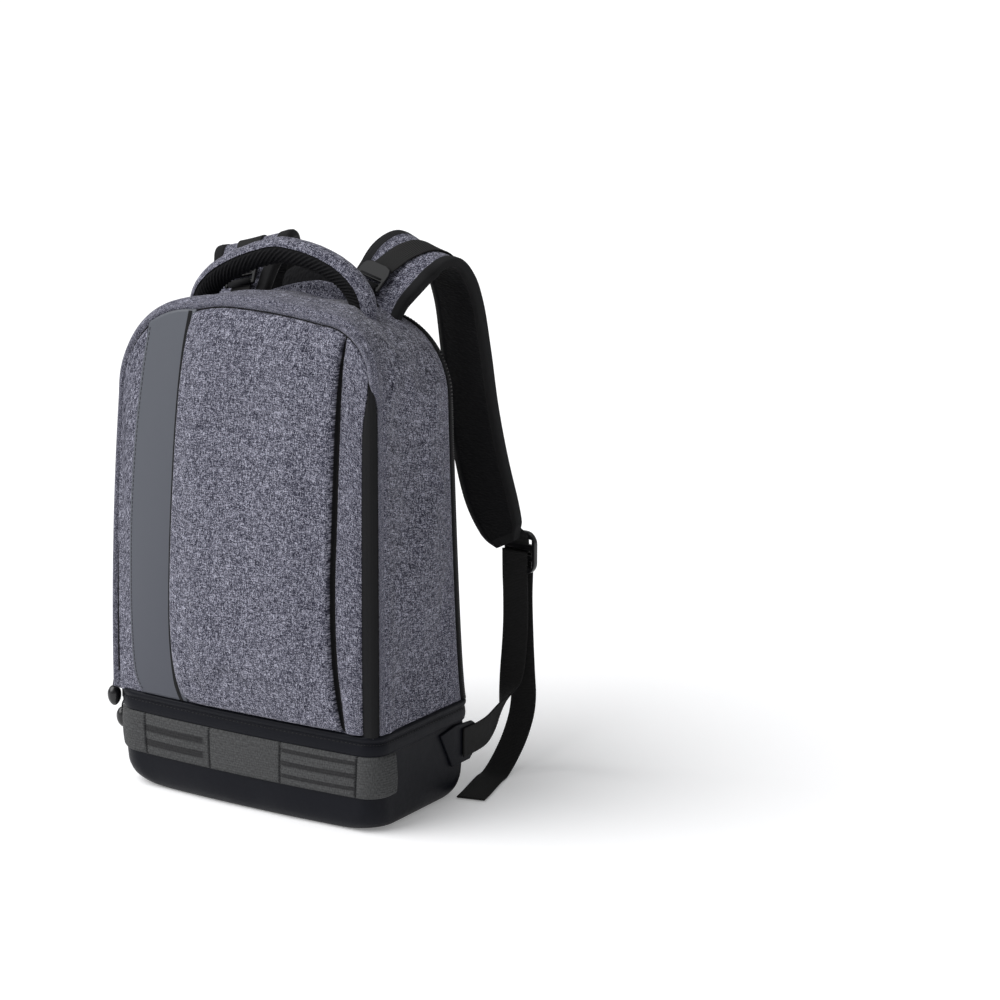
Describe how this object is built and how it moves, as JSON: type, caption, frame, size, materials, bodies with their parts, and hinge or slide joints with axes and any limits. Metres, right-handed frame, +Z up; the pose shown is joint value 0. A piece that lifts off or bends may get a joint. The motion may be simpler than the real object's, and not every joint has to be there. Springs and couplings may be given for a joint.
{
  "type": "camera backpack",
  "caption": "Tall padded camera backpack with an arched body, a wrapped boxy base, a top handle and two padded shoulder straps.",
  "frame": {"origin": "centre of the base's underside, on the floor", "axes": "+Z up, -Y towards the front with the pocket, +Y towards the wearer's back, +X to the right seen from the front"},
  "size_m": [0.3572, 0.2867, 0.5237],
  "materials": {
    "heather_cloth": "woven grey heather",
    "coated_cloth": "black coated cloth with a soft sheen",
    "slate_cloth": "smooth slate grey coated cloth",
    "padded_mesh": "black padded mesh",
    "black_webbing": "black woven webbing and zip tape",
    "black_plastic": "black moulded plastic"
  },
  "bodies": {
    "root": {"adjuster_left": "black_plastic", "adjuster_right": "black_plastic", "adjuster_tab_left": "black_webbing", "adjuster_tab_right": "black_webbing", "anchor_webbing_left": "black_webbing", "anchor_webbing_right": "black_webbing", "back_panel": "padded_mesh", "base_band": "coated_cloth", "base_tab_left": "black_webbing", "base_tab_right": "black_webbing", "base_tub": "coated_cloth", "body_shell": "heather_cloth", "buckle_tab_left": "black_webbing", "buckle_tab_right": "black_webbing", "front_pocket": "heather_cloth", "front_stripe": "slate_cloth", "handle_cover": "heather_cloth", "handle_grip": "padded_mesh", "load_buckle_left": "black_plastic", "load_buckle_right": "black_plastic", "load_webbing_left": "black_webbing", "load_webbing_right": "black_webbing", "main_zip": "black_webbing", "pocket_gusset": "heather_cloth", "pocket_zip": "black_webbing", "puller_bead_base": "black_plastic", "puller_bead_front": "black_plastic", "puller_cord_base": "black_webbing", "puller_cord_front": "black_webbing", "strap_pad_left": "heather_cloth", "strap_pad_right": "heather_cloth", "tail_webbing_left": "black_webbing", "tail_webbing_right": "black_webbing", "top_yoke": "heather_cloth", "webbing_row": "black_webbing", "zip_slider_base": "black_plastic", "zip_slider_front": "black_plastic"}
  },
  "joints": []
}
